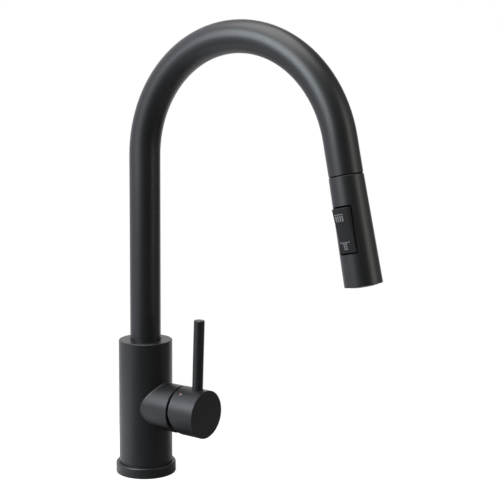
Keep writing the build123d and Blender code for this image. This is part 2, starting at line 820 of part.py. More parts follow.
with BuildPart() as head_core:
    with BuildSketch(head_plane(nipple_flange_bottom)):
        Circle(core_r)
    extrude(amount=core_end - nipple_flange_bottom)
    with BuildSketch(head_plane(nipple_flange_bottom)):
        Circle(inlet_bore_d / 2)
    extrude(amount=inlet_bore_depth, mode=Mode.SUBTRACT)
    with BuildSketch(head_plane(inlet_end)):
        with Locations((-spool_offset, 0)):
            Circle(spool_d / 2 + run_gap)
    extrude(amount=core_end - inlet_end, mode=Mode.SUBTRACT)
    # Pocket that the rocker works in, with a slot for its tail down to the spool
    with BuildSketch(rocker_side.offset(pocket_floor)):
        with Locations((recess_shift, 0)):
            Rectangle(recess_len + 2 * free_gap, rocker_w + 2 * wide_gap)
    extrude(amount=core_d, mode=Mode.SUBTRACT)
    with BuildSketch(rocker_side.offset(-spool_offset)):
        Rectangle(slot_len, tail_w + 2 * wide_gap)
    extrude(amount=spool_offset + pocket_floor, mode=Mode.SUBTRACT)
    with Locations(Plane(origin=rocker_pin_at + head_normal * core_r, z_dir=head_normal)):
        Hole(rocker_pin_d / 2, core_d)
head_core.part.label = "head_core"

with BuildPart() as rocker_pin:
    with BuildSketch(Plane(origin=rocker_pin_at, x_dir=head_dir, z_dir=head_normal)):
        Circle(rocker_pin_d / 2 - seat_gap)
    extrude(amount=rocker_pin_len / 2, both=True)
rocker_pin.part.label = "rocker_pin"

# Rocker button, drawn on a plane that is tipped so that its upper end stands out
rocker_down = head_dir * cos(tip) - head_side * sin(tip)
rocker_out = head_dir * sin(tip) + head_side * cos(tip)
rocker_plane = Plane(origin=rocker_pin_at, x_dir=rocker_down, z_dir=rocker_out)
rocker_under = rocker_hub_d / 2 - rocker_hub_overlap

with BuildPart() as rocker_button:
    with BuildSketch(rocker_plane.offset(rocker_under)):
        RectangleRounded(rocker_len, rocker_w, rocker_corner)
    extrude(amount=rocker_top - rocker_under)
    chamfer(rocker_button.faces().sort_by(Axis((0, 0, 0), rocker_out))[-1].edges(), rocker_bevel)
    with BuildSketch(Plane(origin=rocker_pin_at, x_dir=rocker_down, z_dir=head_normal)):
        Circle(rocker_hub_d / 2)
    extrude(amount=rocker_w / 2 - rocker_bevel, both=True)
    with BuildSketch(rocker_plane.offset(-tail_reach)):
        Rectangle(tail_t, tail_w)
    extrude(amount=tail_reach)
    with Locations(Plane(origin=rocker_pin_at + head_normal * rocker_w, z_dir=head_normal)):
        Hole(rocker_pin_d / 2, 2 * rocker_w)
rocker_button.part.label = "rocker_button"

spool_mid = rocker_depth - spool_arm * sin(tip)
groove_half = tail_t / 2 + tail_gap
seal_offset = spool_len / 4
spool_seal_w = spool_d / 4
seal_r = spool_d / 2 - wide_gap
seal_places = ((seal_r, spool_mid - seal_offset), (seal_r, spool_mid + seal_offset))

with BuildPart() as diverter_spool:
    with BuildSketch(spool_section):
        with Locations((0, spool_mid)):
            Rectangle(spool_d / 2, spool_len, align=(Align.MIN, Align.CENTER))
        with Locations((spool_core_d / 2, spool_mid)):
            Rectangle(spool_d, 2 * groove_half, align=(Align.MIN, Align.CENTER), mode=Mode.SUBTRACT)
        with Locations(*seal_places):
            Rectangle(spool_d, spool_seal_w, align=(Align.MIN, Align.CENTER), mode=Mode.SUBTRACT)
    revolve(axis=spool_axis)
diverter_spool.part.label = "diverter_spool"

with BuildPart() as spool_seals:
    with BuildSketch(spool_section):
        with Locations(*seal_places):
            Rectangle(wide_gap + seat_gap, spool_seal_w - seat_gap, align=(Align.MIN, Align.CENTER))
    revolve(axis=spool_axis)
spool_seals.part.label = "spool_seals"

# Outlet end: distributor, spray face, aerator and soft nozzles

with BuildPart() as distributor:
    with BuildSketch(head_plane(core_end)):
        Circle(core_r + wide_gap)
        with PolarLocations(nozzle_rings[0][0], 8):
            Circle(nozzle_d, mode=Mode.SUBTRACT)
        Circle(aerator_d / 3, mode=Mode.SUBTRACT)
    extrude(amount=distributor_h)
distributor.part.label = "distributor"

face_r = head_radius(face_top) - head_wall - free_gap
face_ball_r = (face_r**2 + face_dome**2) / (2 * face_dome)
face_bore_r = aerator_d / 2 + seat_gap


def face_depth(radius):
    """The depth of the domed spray face at that distance from the head's axis."""
    return head_len + face_dome - face_ball_r + sqrt(face_ball_r**2 - radius**2)


with BuildPart() as spray_face:
    with BuildSketch(head_section):
        with BuildLine():
            Polyline(
                (face_bore_r, face_depth(face_bore_r)),
                (face_bore_r, face_top),
                (face_r, face_top),
                (face_r, head_len),
            )
            ThreePointArc(
                (face_r, head_len),
                ((face_r + face_bore_r) / 2, face_depth((face_r + face_bore_r) / 2)),
                (face_bore_r, face_depth(face_bore_r)),
            )
        make_face()
    revolve(axis=head_axis)
    with BuildSketch(head_plane(face_top)):
        for ring_r, count in nozzle_rings:
            with PolarLocations(ring_r, count):
                Circle(nozzle_d / 2)
    extrude(amount=outlet_depth, mode=Mode.SUBTRACT)
spray_face.part.label = "spray_face"

with BuildPart() as aerator:
    with BuildSketch(head_plane(face_top)):
        Circle(aerator_d / 2)
        with GridLocations(aerator_cell, aerator_cell, 5, 5):
            Rectangle(aerator_cell * 0.7, aerator_cell * 0.7, mode=Mode.SUBTRACT)
    extrude(amount=face_depth(aerator_d / 2) - aerator_sink - face_top)
aerator.part.label = "aerator"

with BuildPart() as spray_nozzles:
    for ring_r, count in nozzle_rings:
        with BuildSketch(head_plane(face_top)):
            with PolarLocations(ring_r, count):
                Circle(nozzle_d / 2 - seat_gap)
        extrude(amount=face_depth(ring_r) + nozzle_out - face_top)
spray_nozzles.part.label = "spray_nozzles"

# One STEP file for each piece
os.makedirs("parts", exist_ok=True)
export_step(base_flange.part, "parts/base_flange.step")
export_step(base_gasket.part, "parts/base_gasket.step")
export_step(mixer_body.part, "parts/mixer_body.step")
export_step(inlet_block.part, "parts/inlet_block.step")
export_step(channel_seals.part, "parts/channel_seals.step")
export_step(cartridge_base.part, "parts/cartridge_base.step")
export_step(cartridge_seals.part, "parts/cartridge_seals.step")
export_step(cartridge_housing.part, "parts/cartridge_housing.step")
export_step(cartridge_nut.part, "parts/cartridge_nut.step")
export_step(dome_ring.part, "parts/dome_ring.step")
export_step(fixed_disc.part, "parts/fixed_disc.step")
export_step(lower_bush.part, "parts/lower_bush.step")
export_step(upper_bush.part, "parts/upper_bush.step")
export_step(spout_screw.part, "parts/spout_screw.step")
export_step(moving_disc.part, "parts/moving_disc.step")
export_step(disc_carrier.part, "parts/disc_carrier.step")
export_step(stem_rotor.part, "parts/stem_rotor.step")
export_step(stem_pin.part, "parts/stem_pin.step")
export_step(stem.part, "parts/stem.step")
export_step(handle_cap.part, "parts/handle_cap.step")
export_step(lever_rod.part, "parts/lever_rod.step")
export_step(handle_screw.part, "parts/handle_screw.step")
export_step(hot_index.part, "parts/hot_index.step")
export_step(cold_index.part, "parts/cold_index.step")
export_step(spout_tube.part, "parts/spout_tube.step")
export_step(spout_sleeve.part, "parts/spout_sleeve.step")
export_step(docking_guide.part, "parts/docking_guide.step")
export_step(pull_hose.part, "parts/pull_hose.step")
export_step(hose_coupling.part, "parts/hose_coupling.step")
export_step(hose_ferrule.part, "parts/hose_ferrule.step")
export_step(hose_tail.part, "parts/hose_tail.step")
export_step(hose_nut.part, "parts/hose_nut.step")
export_step(inlet_washer.part, "parts/inlet_washer.step")
export_step(head_nipple.part, "parts/head_nipple.step")
export_step(check_valve.part, "parts/check_valve.step")
export_step(head_shell.part, "parts/head_shell.step")
export_step(head_core.part, "parts/head_core.step")
export_step(rocker_pin.part, "parts/rocker_pin.step")
export_step(rocker_button.part, "parts/rocker_button.step")
export_step(diverter_spool.part, "parts/diverter_spool.step")
export_step(spool_seals.part, "parts/spool_seals.step")
export_step(distributor.part, "parts/distributor.step")
export_step(spray_face.part, "parts/spray_face.step")
export_step(aerator.part, "parts/aerator.step")
export_step(spray_nozzles.part, "parts/spray_nozzles.step")
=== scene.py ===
"""Looks of a matt black pull-down kitchen faucet: finishes, rocker, spray face, hose and studio."""
import json
import math

import bmesh
import bpy
from mathutils import Matrix, Vector


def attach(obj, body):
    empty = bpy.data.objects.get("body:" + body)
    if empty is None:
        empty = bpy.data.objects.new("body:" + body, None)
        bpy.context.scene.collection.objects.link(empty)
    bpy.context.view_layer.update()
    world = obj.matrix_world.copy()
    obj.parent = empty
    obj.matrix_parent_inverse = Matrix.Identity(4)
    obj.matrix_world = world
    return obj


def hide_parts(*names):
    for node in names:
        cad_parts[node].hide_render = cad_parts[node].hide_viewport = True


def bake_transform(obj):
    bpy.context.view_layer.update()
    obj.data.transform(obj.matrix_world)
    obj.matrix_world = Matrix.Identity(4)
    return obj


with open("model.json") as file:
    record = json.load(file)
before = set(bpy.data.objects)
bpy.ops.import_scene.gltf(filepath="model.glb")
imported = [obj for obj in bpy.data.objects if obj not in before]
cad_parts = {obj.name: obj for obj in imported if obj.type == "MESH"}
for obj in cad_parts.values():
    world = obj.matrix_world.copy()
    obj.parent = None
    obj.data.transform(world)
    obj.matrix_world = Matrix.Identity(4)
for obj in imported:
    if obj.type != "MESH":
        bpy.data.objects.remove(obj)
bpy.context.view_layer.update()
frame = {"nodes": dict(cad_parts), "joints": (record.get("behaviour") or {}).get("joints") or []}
nodes = frame["nodes"]
joints = {joint["name"]: joint for joint in frame["joints"]}
scene = bpy.context.scene
MM = 0.001


# Node writing


class Value:
    """A socket that can be written in sums, which add Math nodes to its tree."""

    def __init__(self, writer, socket):
        self.writer = writer
        self.socket = socket

    def __add__(self, other):
        return self.writer.math("ADD", self, other)

    def __radd__(self, other):
        return self.writer.math("ADD", other, self)

    def __sub__(self, other):
        return self.writer.math("SUBTRACT", self, other)

    def __rsub__(self, other):
        return self.writer.math("SUBTRACT", other, self)

    def __mul__(self, other):
        return self.writer.math("MULTIPLY", self, other)

    def __rmul__(self, other):
        return self.writer.math("MULTIPLY", other, self)

    def __truediv__(self, other):
        return self.writer.math("DIVIDE", self, other)

    def __mod__(self, other):
        return self.writer.math("MODULO", self, other)

    def __gt__(self, other):
        return self.writer.math("GREATER_THAN", self, other)

    def sine(self):
        return self.writer.math("SINE", self)

    def root(self):
        return self.writer.math("SQRT", self)

    def floor(self):
        return self.writer.math("FLOOR", self)


class Writer:
    """Writes nodes into one tree."""

    def __init__(self, tree):
        self.tree = tree

    def feed(self, socket, item):
        """Gives a socket a link from a value, several links from a list, or a plain number."""
        if isinstance(item, Value):
            self.tree.links.new(item.socket, socket)
        elif isinstance(item, list):
            for part in item:
                self.tree.links.new(part.socket, socket)
        else:
            socket.default_value = item

    def add(self, kind, settings=None, inputs=None, out=0):
        """Adds one node: its settings are set first, then its sockets, and one output comes back."""
        node = self.tree.nodes.new(kind)
        for label, value in (settings or {}).items():
            setattr(node, label, value)
        for label, item in (inputs or {}).items():
            self.feed(node.inputs[label], item)
        return Value(self, node.outputs[out])

    def math(self, operation, first, second=0.0):
        return self.add("ShaderNodeMath", {"operation": operation}, {0: first, 1: second})

    def part(self, vector, letter):
        """One of a vector's three numbers."""
        return self.add("ShaderNodeSeparateXYZ", None, {0: vector}, letter)

    def length(self, vector):
        return self.add("ShaderNodeVectorMath", {"operation": "LENGTH"}, {0: vector}, "Value")

    def along(self, vector, way):
        """How far a vector reaches along a direction."""
        inputs = {0: vector, 1: tuple(way)}
        return self.add("ShaderNodeVectorMath", {"operation": "DOT_PRODUCT"}, inputs, "Value")

    def ramp(self, value, low, high):
        """Goes smoothly from 0 to 1 as the value goes from low to high."""
        inputs = {"Value": value, "From Min": low, "From Max": high, "To Min": 0.0, "To Max": 1.0}
        return self.add("ShaderNodeMapRange", {"interpolation_type": "SMOOTHSTEP"}, inputs)

    def colours(self, share, first, second):
        """A colour that goes from the first to the second as the share goes from 0 to 1."""
        inputs = {"Factor": share, 6: (*first, 1.0), 7: (*second, 1.0)}
        return self.add("ShaderNodeMix", {"data_type": "RGBA"}, inputs, 2)


# Frames of the spray head and of its rocker

DOCK = Vector(joints["head_turn"]["pos_m"])
HEAD_DOWN = Vector(joints["head_turn"]["axis"]).normalized()
ROCKER_PIN = Vector(joints["rocker_tilt"]["pos_m"])
HEAD_FRONT = -Vector(joints["rocker_tilt"]["axis"]).normalized()
HEAD_SIDE = HEAD_FRONT.cross(HEAD_DOWN).normalized()
if (ROCKER_PIN - DOCK).dot(HEAD_SIDE) < 0.0:
    HEAD_SIDE = -HEAD_SIDE
ROCKER_TIP = math.radians(6.6)
ROCKER_DOWN = HEAD_DOWN * math.cos(ROCKER_TIP) - HEAD_SIDE * math.sin(ROCKER_TIP)
ROCKER_OUT = HEAD_DOWN * math.sin(ROCKER_TIP) + HEAD_SIDE * math.cos(ROCKER_TIP)


def place_of(x_axis, z_axis, origin):
    """The matrix of a frame from two of its axes and its origin."""
    y_axis = z_axis.cross(x_axis)
    turn = Matrix((x_axis, y_axis, z_axis)).transposed()
    return Matrix.Translation(origin) @ turn.to_4x4()


HEAD_PLACE = place_of(HEAD_SIDE, HEAD_DOWN, DOCK)
ROCKER_PLACE = place_of(ROCKER_DOWN, ROCKER_OUT, ROCKER_PIN)


# Finishes


class Finish(Writer):
    """A material being written: its shader and the piece's own coordinates."""

    def __init__(self, name, colour, roughness, place=None, shine=0.5, metallic=0.0):
        self.material = bpy.data.materials.new(name)
        self.material.use_nodes = True
        super().__init__(self.material.node_tree)
        self.shader = self.tree.nodes["Principled BSDF"]
        self.put("Base Color", (*colour, 1.0))
        self.put("Roughness", roughness)
        self.put("Specular IOR Level", shine)
        self.put("Metallic", metallic)
        self.place = self.add("ShaderNodeTexCoord", out="Object")
        if place is not None:
            inputs = {"Vector": self.place, "Location": place.to_translation(), "Rotation": place.to_euler()}
            self.place = self.add("ShaderNodeMapping", {"vector_type": "TEXTURE"}, inputs)

    def put(self, label, item):
        self.feed(self.shader.inputs[label], item)

    def noise(self, size, detail=2.0, roughness=0.5, place=None):
        """Noise between 0 and 1 whose lumps are about that size in metres."""
        inputs = {
            "Vector": place or self.place,
            "Scale": 1.0 / size,
            "Detail": detail,
            "Roughness": roughness,
        }
        return self.add("ShaderNodeTexNoise", None, inputs, "Fac")

    def bump(self, height, depth):
        """Raises the surface by a height between 0 and 1 times that depth in metres."""
        inputs = {"Height": height, "Distance": depth, "Strength": 1.0}
        self.put("Normal", self.add("ShaderNodeBump", None, inputs, "Normal"))


def powder_coat(name, colour, roughness, grain, shine=0.5):
    """Matt powder coat: a fine orange-peel skin, with gloss and tone that drift a little."""
    finish = Finish(name, colour, roughness, shine=shine)
    drift = finish.noise(size=0.035, detail=3.0)
    peel = finish.noise(size=grain * 3.0)
    fine = finish.noise(size=grain, detail=3.0, roughness=0.6)
    pale = tuple(1.35 * channel + 0.001 for channel in colour)
    finish.put("Base Color", finish.colours(0.15 + 0.5 * drift + 0.35 * fine, colour, pale))
    finish.put("Roughness", roughness - 0.04 + 0.05 * drift + 0.04 * fine)
    finish.bump(0.6 * fine + 0.4 * peel, depth=grain * 0.05)
    return finish.material


def moulded(name, colour, roughness, grain=0.0006, shine=0.5):
    """Moulded plastic or rubber: a soft tone drift and a fine skin."""
    finish = Finish(name, colour, roughness, shine=shine)
    drift = finish.noise(size=0.012)
    skin = finish.noise(size=grain)
    pale = tuple(1.25 * channel + 0.0005 for channel in colour)
    finish.put("Base Color", finish.colours(0.7 * drift + 0.3 * skin, colour, pale))
    finish.put("Roughness", roughness - 0.05 + 0.08 * drift + 0.04 * skin)
    finish.bump(skin, depth=grain * 0.03)
    return finish.material


def turned_metal(name, colour, roughness, place=None, pitch=0.00035):
    """Turned metal: rings of slightly different gloss along the turned axis, and a faint stain."""
    finish = Finish(name, colour, roughness, place, metallic=1.0)
    stretched = finish.add("ShaderNodeMapping", None, {"Vector": finish.place, "Scale": (0.08, 0.08, 1.0)})
    rings = finish.noise(size=pitch, detail=3.0, roughness=0.6, place=stretched)
    stain = finish.noise(size=0.009, detail=3.0)
    dark = tuple(0.78 * channel for channel in colour)
    finish.put("Base Color", finish.colours(stain, dark, colour))
    finish.put("Roughness", roughness - 0.07 + 0.1 * rings + 0.05 * stain)
    finish.bump(rings, depth=pitch * 0.05)
    return finish.material


def braided_nylon(name, dark, pale, strands, pitch, threads=4.0):
    """A braid of nylon strands that cross at a slant round the hose, with painted shade darkening each
    hollow.
    """
    finish = Finish(name, dark, 0.5, HEAD_PLACE)
    round_x = finish.part(finish.place, "X")
    round_y = finish.part(finish.place, "Y")
    turn = finish.math("ARCTAN2", round_y, round_x) * strands
    along = finish.part(finish.place, "Z") * (math.tau / pitch)
    crossing = 0.5 + 0.5 * ((turn + along).sine() * (turn - along).sine())
    thread = 0.5 + 0.5 * ((turn + along) * threads).sine()
    tone = finish.noise(size=0.004)
    # Painted light and shade: the colour follows the braid's height, paler on raised strands and darker in
    # each hollow, with a random tone
    finish.put("Base Color", finish.colours(0.7 * crossing + 0.3 * tone, dark, pale))
    finish.put("Roughness", 0.62 - 0.14 * crossing)
    finish.bump(0.8 * crossing + 0.2 * thread, depth=0.0003)
    return finish.material


BRASS = (0.72, 0.5, 0.2)
coat = powder_coat("black_powder_coat", (0.0055, 0.0056, 0.006), 0.39, grain=0.0006)
shell_coat = powder_coat("black_head_coat", (0.006, 0.006, 0.0064), 0.39, grain=0.0005)
button_coat = powder_coat("black_rocker", (0.0065, 0.0065, 0.0068), 0.42, grain=0.0004, shine=0.27)
black_nut = powder_coat("blackened_nut", (0.0075, 0.0075, 0.0078), 0.36, grain=0.0003)
black_plastic = moulded("black_moulding", (0.004, 0.004, 0.004), 0.55)
# Black plastic, made darker and duller than the other mouldings as painted shade where these parts show
# through gaps
painted_shade_gap_black = moulded("dull_black_moulding", (0.0025, 0.0025, 0.0025), 0.75, shine=0.08)
face_plastic = moulded("black_spray_face", (0.014, 0.014, 0.015), 0.42)
nozzle_rubber = moulded("grey_silicone", (0.085, 0.086, 0.09), 0.6, grain=0.0003)
aerator_plastic = moulded("grey_aerator", (0.3, 0.31, 0.32), 0.45)
symbol_print = moulded("grey_symbol_print", (0.14, 0.14, 0.143), 0.5, grain=0.0003)
pale_plastic = moulded("pale_cartridge_plastic", (0.62, 0.61, 0.58), 0.4)
ceramic = moulded("white_disc_ceramic", (0.8, 0.79, 0.76), 0.18)
rubber = moulded("black_rubber", (0.01, 0.01, 0.01), 0.72, grain=0.0004)
red_enamel = moulded("red_enamel", (0.26, 0.15, 0.145), 0.3, grain=0.0003)
blue_enamel = moulded("blue_enamel", (0.08, 0.12, 0.30), 0.3, grain=0.0003)
brass = turned_metal("turned_brass", BRASS, 0.32)
head_brass = turned_metal("turned_head_brass", BRASS, 0.3, HEAD_PLACE)
steel = turned_metal("turned_steel", (0.55, 0.55, 0.56), 0.28, HEAD_PLACE)
braid = braided_nylon(
    "black_hose_braid", dark=(0.006, 0.006, 0.0065), pale=(0.05, 0.05, 0.053), strands=12, pitch=0.0052
)

finishes = {
    coat: ("base_flange", "mixer_body", "handle_cap", "lever_rod", "spout_tube", "upper_bush"),
    shell_coat: ("head_shell",),
    button_coat: ("rocker_button",),
    black_plastic: ("lower_bush", "diverter_spool", "distributor"),
    painted_shade_gap_black: ("dome_ring", "docking_guide", "head_core"),
    face_plastic: ("spray_face",),
    nozzle_rubber: ("spray_nozzles",),
    aerator_plastic: ("aerator",),
    pale_plastic: ("cartridge_base", "cartridge_housing", "disc_carrier", "stem_rotor", "check_valve"),
    ceramic: ("fixed_disc", "moving_disc"),
    rubber: ("base_gasket", "channel_seals", "cartridge_seals", "inlet_washer", "spool_seals"),
    braid: ("pull_hose",),
    brass: ("inlet_block", "stem", "spout_sleeve", "hose_coupling"),
    head_brass: ("hose_tail", "head_nipple"),
    steel: ("spout_screw", "handle_screw", "stem_pin", "rocker_pin", "hose_ferrule"),
    black_nut: ("cartridge_nut", "hose_nut"),
    red_enamel: ("hot_index",),
    blue_enamel: ("cold_index",),
}
for material, names in finishes.items():
    for name in names:
        slots = nodes[name].data.materials
        slots.clear()
        slots.append(material)


# Shapes and patterns


class Pattern(Writer):
    """A Geometry Nodes tree with named sizes, run on a small mesh, which gives a plain mesh back."""

    def __init__(self, name, **sizes):
        super().__init__(bpy.data.node_groups.new(name, "GeometryNodeTree"))
        self.sockets = {}
        labels = {"Shape": "NodeSocketGeometry"}
        for label, kind in sizes.items():
            labels[label] = {int: "NodeSocketInt", float: "NodeSocketFloat"}[kind]
        labels["Finish"] = "NodeSocketMaterial"
        for label, kind in labels.items():
            self.sockets[label] = self.tree.interface.new_socket(label, in_out="INPUT", socket_type=kind)
        self.tree.interface.new_socket("Shape", in_out="OUTPUT", socket_type="NodeSocketGeometry")
        self.start = self.tree.nodes.new("NodeGroupInput")

    def size(self, label):
        return Value(self, self.start.outputs[label])

    def vector(self, **parts):
        return self.add("ShaderNodeCombineXYZ", None, parts)

    def moved(self, points, offset):
        """Points shifted by an offset."""
        return self.add("GeometryNodeSetPosition", None, {"Geometry": points, "Offset": offset})

    def copies(self, points):
        """The start shape, once on each point."""
        inputs = {"Points": points, "Instance": self.size("Shape")}
        return self.add("GeometryNodeInstanceOnPoints", None, inputs)

    def close(self, shape):
        """Ends the tree: copies are made real and get their finish."""
        real = self.add("GeometryNodeRealizeInstances", None, {"Geometry": shape})
        inputs = {"Geometry": real, "Material": self.size("Finish")}
        dressed = self.add("GeometryNodeSetMaterial", None, inputs)
        end = self.tree.nodes.new("NodeGroupOutput")
        self.feed(end.inputs["Shape"], dressed)

    def run(self, start, finish, **sizes):
        """The plain mesh that the tree makes of the start mesh."""
        carrier = bpy.data.objects.new("carrier", start)
        scene.collection.objects.link(carrier)
        modifier = carrier.modifiers.new("pattern", "NODES")
        modifier.node_group = self.tree
        for label, value in {**sizes, "Finish": finish}.items():
            modifier[self.sockets[label].identifier] = value
        evaluated = carrier.evaluated_get(bpy.context.evaluated_depsgraph_get())
        mesh = bpy.data.meshes.new_from_object(evaluated)
        carrier.modifiers.remove(modifier)
        bpy.data.objects.remove(carrier)
        return mesh


MERGE_DISTANCE = 1e-7  # metres


def smooth(mesh, below):
    """Shades a mesh smooth, apart from edges that turn by more than that angle in degrees."""
    mesh.shade_smooth()
    mesh.set_sharp_from_angle(angle=math.radians(below))
    return mesh


def mesh_of(name, points, faces):
    """A mesh from points in millimetres, merged, with its faces outwards."""
    mesh = bpy.data.meshes.new(name)
    mesh.from_pydata([Vector(point) * MM for point in points], [], faces)
    form = bmesh.new()
    form.from_mesh(mesh)
    bmesh.ops.remove_doubles(form, verts=form.verts, dist=MERGE_DISTANCE)
    bmesh.ops.recalc_face_normals(form, faces=form.faces)
    form.to_mesh(mesh)
    form.free()
    return mesh


def lathe(name, outline, steps, smooth_below=40.0):
    """Turns an outline of (radius, height) points round Z. It starts and ends on the axis or closes."""
    points, faces = [], []
    for step in range(steps):
        angle = math.tau * step / steps
        points += [(radius * math.cos(angle), radius * math.sin(angle), height) for radius, height in outline]
    count = len(outline)
    for step in range(steps):
        here, there = step * count, (step + 1) % steps * count
        for first in range(count - 1):
            corners = [here + first, there + first, there + first + 1, here + first + 1]
            if outline[first][0] == 0.0:
                corners = [here + first, there + first + 1, here + first + 1]
            elif outline[first + 1][0] == 0.0:
                corners = [here + first, there + first, here + first + 1]
            faces.append(corners)
    return smooth(mesh_of(name, points, faces), smooth_below)


def prism(name, outline, bottom, top):
    """A flat plate with that outline of (x, y) points, from one height to another."""
    count = len(outline)
    points = [(x, y, bottom) for x, y in outline] + [(x, y, top) for x, y in outline]
    faces = [list(range(count)), list(range(count, 2 * count))]
    for first in range(count):
        second = (first + 1) % count
        faces.append([first, second, count + second, count + first])
    return mesh_of(name, points, faces)


def piece(name, meshes, place, body):
    """Joins meshes into one object at that place, which rides on a body and takes a material slot."""
    form = bmesh.new()
    for mesh in meshes:
        form.from_mesh(mesh)
    form.transform(place)
    joined = bpy.data.meshes.new(name)
    form.to_mesh(joined)
    form.free()
    for material in meshes[0].materials:
        joined.materials.append(material)
    made = bpy.data.objects.new(name, joined)
    scene.collection.objects.link(made)
    if body:
        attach(made, body)
    return made


# Rocker: the thumb face is domed across its width, and its lower end nears the edge of its opening.
# Its sizes are in millimetres: x runs down the rocker, y across it, and z out of its face.

ROCKER_FACE = 9.2
ROCKER_HALF_WIDTH = 7.6
ROCKER_HALF_LENGTH = 18.2
ROCKER_BEVEL = 0.4
BEVEL_MARGIN = 0.1
DOME_RISE = 0.8
DOME_STEPS = 20
DOME_SMOOTH_BELOW = 25.0
LOWER_END = 1.0
LOWER_END_REACH = 0.8


def domed(mesh):
    """Domes what lies on the rocker's face; the mesh stands in the rocker's own frame."""
    form = bmesh.new()
    form.from_mesh(mesh)
    half_width = ROCKER_HALF_WIDTH * MM
    for step in range(1, DOME_STEPS):
        at = Vector((0.0, half_width * (2.0 * step / DOME_STEPS - 1.0), 0.0))
        everything = form.verts[:] + form.edges[:] + form.faces[:]
        bmesh.ops.bisect_plane(form, geom=everything, plane_co=at, plane_no=(0.0, 1.0, 0.0))
    for vert in form.verts:
        if vert.co.z > (ROCKER_FACE - ROCKER_BEVEL - BEVEL_MARGIN) * MM:
            vert.co.z += DOME_RISE * MM * max(0.0, 1.0 - (vert.co.y / half_width) ** 2)
    form.to_mesh(mesh)
    form.free()
    return smooth(mesh, DOME_SMOOTH_BELOW)


plain_button = nodes["rocker_button"].data
to_rocker = ROCKER_PLACE.inverted()
button_points = [to_rocker @ vertex.co / MM for vertex in plain_button.vertices]
for point in button_points:
    if point.x > ROCKER_HALF_LENGTH - LOWER_END:
        point.x += LOWER_END_REACH
button_faces = [face.vertices[:] for face in plain_button.polygons]
button_mesh = domed(mesh_of("thumb_rocker", button_points, button_faces))
button_mesh.materials.append(button_coat)
thumb_rocker = piece("thumb_rocker", [button_mesh], ROCKER_PLACE, "rocker")
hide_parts("rocker_button")


# Rocker symbols: a bar over fine jets for the spray, and a bar over a slim column for the stream

rows = Pattern("marks_in_rows", Rows=int, Columns=int, Row_pitch=float, Column_pitch=float)
grid_inputs = {
    "Size X": (rows.size("Rows") - 1.0) * rows.size("Row_pitch"),
    "Size Y": (rows.size("Columns") - 1.0) * rows.size("Column_pitch"),
    "Vertices X": rows.size("Rows"),
    "Vertices Y": rows.size("Columns"),
}
rows.close(rows.copies(rows.add("GeometryNodeMeshGrid", None, grid_inputs, "Mesh")))

SYMBOL_ACROSS = -1.62
PRINT_OUT = 0.05
PRINT_SINK = 0.05
CORNER_POINTS = 4


def mark(name, length, width, down):
    """A printed stroke with round ends, of that length down the rocker and that width across it."""
    radius = min(length, width) / 2.0
    outline = []
    for quarter, (sign_x, sign_y) in enumerate(((1, 1), (-1, 1), (-1, -1), (1, -1))):
        for step in range(CORNER_POINTS):
            angle = math.pi / 2.0 * (quarter + step / (CORNER_POINTS - 1.0))
            x = sign_x * (length / 2.0 - radius) + radius * math.cos(angle)
            y = sign_y * (width / 2.0 - radius) + radius * math.sin(angle)
            outline.append((down + x, SYMBOL_ACROSS + y))
    return prism(name, outline, ROCKER_FACE - PRINT_SINK, ROCKER_FACE + PRINT_OUT)


symbol_rows = (
    # name, stroke length and width, place of the first row, rows, columns and their pitches
    ("spray_bar", 0.62, 8.6, -13.3, 1, 1, 0.0, 0.0),
    ("spray_jets", 5.0, 1.1, -9.9, 1, 4, 0.0, 2.1),
    ("stream_bar", 0.66, 9.4, 9.85, 1, 1, 0.0, 0.0),
    ("stream_tips", 1.2, 0.66, 9.45, 1, 2, 0.0, 8.7),
    ("stream_drops", 1.6, 1.5, 11.2, 3, 2, 1.95, 2.1),
)
symbol_meshes = []
for name, length, width, down, row_count, column_count, row_pitch, column_pitch in symbol_rows:
    stroke = mark(name, length, width, down + (row_count - 1) * row_pitch / 2.0)
    sizes = {
        "Rows": row_count,
        "Columns": column_count,
        "Row_pitch": row_pitch * MM,
        "Column_pitch": column_pitch * MM,
    }
    symbol_meshes.append(domed(rows.run(stroke, symbol_print, **sizes)))
piece("rocker_symbols", symbol_meshes, ROCKER_PLACE, "rocker")


# Soft nozzles in two rings on the domed spray face, in millimetres. The tip's height is taken down from the
# dock; a nozzle's outline gives radius and height over the face, from its bore to its buried foot.

FACE_TIP = 92.6
FACE_BALL = 57.2
INNER_RING_RADIUS, INNER_RING_COUNT = 8.2, 14
OUTER_RING_RADIUS, OUTER_RING_COUNT = 10.7, 18
NOZZLE_STEPS = 12
NOZZLE_OUTLINE = (
    (0.0, -0.8),
    (0.22, -0.8),
    (0.22, 0.1),
    (0.3, 0.18),
    (0.42, 0.16),
    (0.52, 0.06),
    (0.6, -0.1),
    (0.6, -1.0),
    (0.0, -1.0),
)

rings = Pattern(
    "nozzle_rings",
    Inner_radius=float,
    Inner_count=int,
    Outer_radius=float,
    Outer_count=int,
    Ball_radius=float,
    Tip_height=float,
)
nozzle_sets = []
ball = rings.size("Ball_radius")
for ring in ("Inner", "Outer"):
    radius = rings.size(ring + "_radius")
    circle_inputs = {"Vertices": rings.size(ring + "_count"), "Radius": radius}
    circle = rings.add("GeometryNodeMeshCircle", None, circle_inputs)
    height = rings.size("Tip_height") - ball + (ball * ball - radius * radius).root()
    nozzle_sets.append(rings.copies(rings.moved(circle, rings.vector(Z=height))))
rings.close(rings.add("GeometryNodeJoinGeometry", None, {"Geometry": nozzle_sets}))

